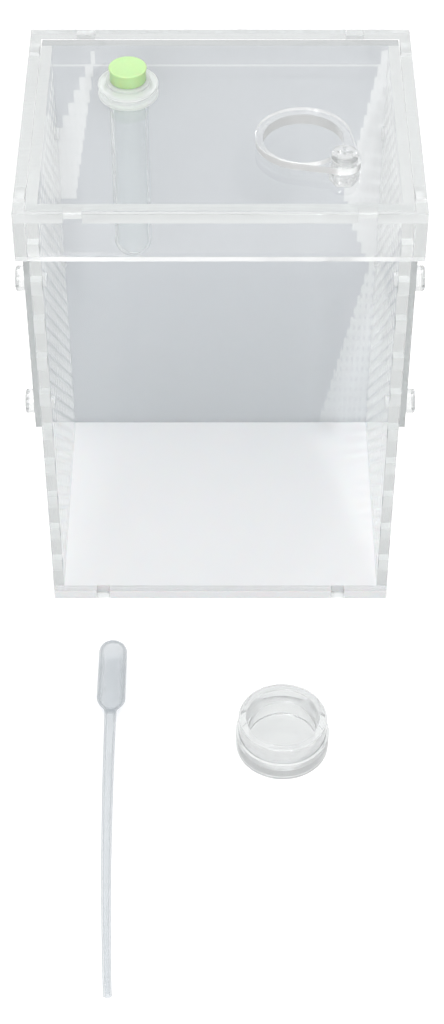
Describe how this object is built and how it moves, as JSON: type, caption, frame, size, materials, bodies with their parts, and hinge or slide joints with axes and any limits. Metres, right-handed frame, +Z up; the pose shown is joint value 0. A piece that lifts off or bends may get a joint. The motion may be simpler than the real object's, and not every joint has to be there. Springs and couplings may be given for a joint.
{
  "type": "breeding terrarium",
  "caption": "Clear acrylic breeding box with vented side walls and shutters, a lift-off lid with a water feeder and a feeding port, a dish and a dropper.",
  "frame": {"origin": "middle of the box's underside, where it rests", "axes": "+Z up, -Y towards the front wall and the loose dish and dropper, +X to the right seen from the front"},
  "size_m": [0.1114, 0.2269, 0.1565],
  "materials": {
    "clear_acrylic": "clear polished sheet with matt laser-cut edges",
    "smoke_acrylic": "clear polished sheet with a light smoke tint",
    "milky_acrylic": "milky white sheet",
    "clear_bolt_plastic": "clear moulded",
    "frosted_collar": "frosted translucent",
    "clear_tube": "clear moulded",
    "green_stopper": "soft satin",
    "clear_dish": "clear moulded",
    "milky_dropper": "milky translucent"
  },
  "bodies": {
    "box": {"floor_panel": "milky_acrylic", "front_panel": "clear_acrylic", "back_panel": "smoke_acrylic", "left_panel": "clear_acrylic", "right_panel": "clear_acrylic", "left_bolt_front_low": "clear_bolt_plastic", "left_bolt_front_high": "clear_bolt_plastic", "left_bolt_back_low": "clear_bolt_plastic", "left_bolt_back_high": "clear_bolt_plastic", "right_bolt_front_low": "clear_bolt_plastic", "right_bolt_front_high": "clear_bolt_plastic", "right_bolt_back_low": "clear_bolt_plastic", "right_bolt_back_high": "clear_bolt_plastic"},
    "left_shutter": {"left_vent_shutter": "clear_acrylic"},
    "right_shutter": {"right_vent_shutter": "clear_acrylic"},
    "lid": {"lid_plate": "clear_acrylic", "lid_front_skirt": "clear_acrylic", "lid_back_skirt": "clear_acrylic", "lid_left_skirt": "clear_acrylic", "lid_right_skirt": "clear_acrylic", "feeder_collar": "frosted_collar", "feeder_tube": "clear_tube", "port_screw": "clear_bolt_plastic", "port_nut": "clear_bolt_plastic"},
    "stopper": {"feeder_stopper": "green_stopper"},
    "cover": {"port_cover": "clear_acrylic"},
    "dish": {"feeding_dish": "clear_dish"},
    "dropper": {"dropper": "milky_dropper"}
  },
  "joints": [
    {"name": "left_shutter_slide", "type": "slide", "parent": "box", "child": "left_shutter", "axis": [0, 0, 1], "range_m": [0, 0.0025]},
    {"name": "right_shutter_slide", "type": "slide", "parent": "box", "child": "right_shutter", "axis": [0, 0, 1], "range_m": [0, 0.0025]},
    {"name": "lid_lift", "type": "slide", "parent": "box", "child": "lid", "axis": [0, 0, 1], "range_m": [0, 0.07]},
    {"name": "stopper_pull", "type": "slide", "parent": "lid", "child": "stopper", "axis": [0, 0, 1], "range_m": [0, 0.015]},
    {"name": "cover_swivel", "type": "hinge", "parent": "lid", "child": "cover", "pos_m": [0.0331, -0.0223, 0.1511], "axis": [0, 0, 1], "continuous": true},
    {"name": "dish_lift", "type": "slide", "parent": "box", "child": "dish", "axis": [0, 0, 1], "range_m": [0, 0.05]},
    {"name": "dropper_lift", "type": "slide", "parent": "box", "child": "dropper", "axis": [0, 0, 1], "range_m": [0, 0.05]}
  ]
}
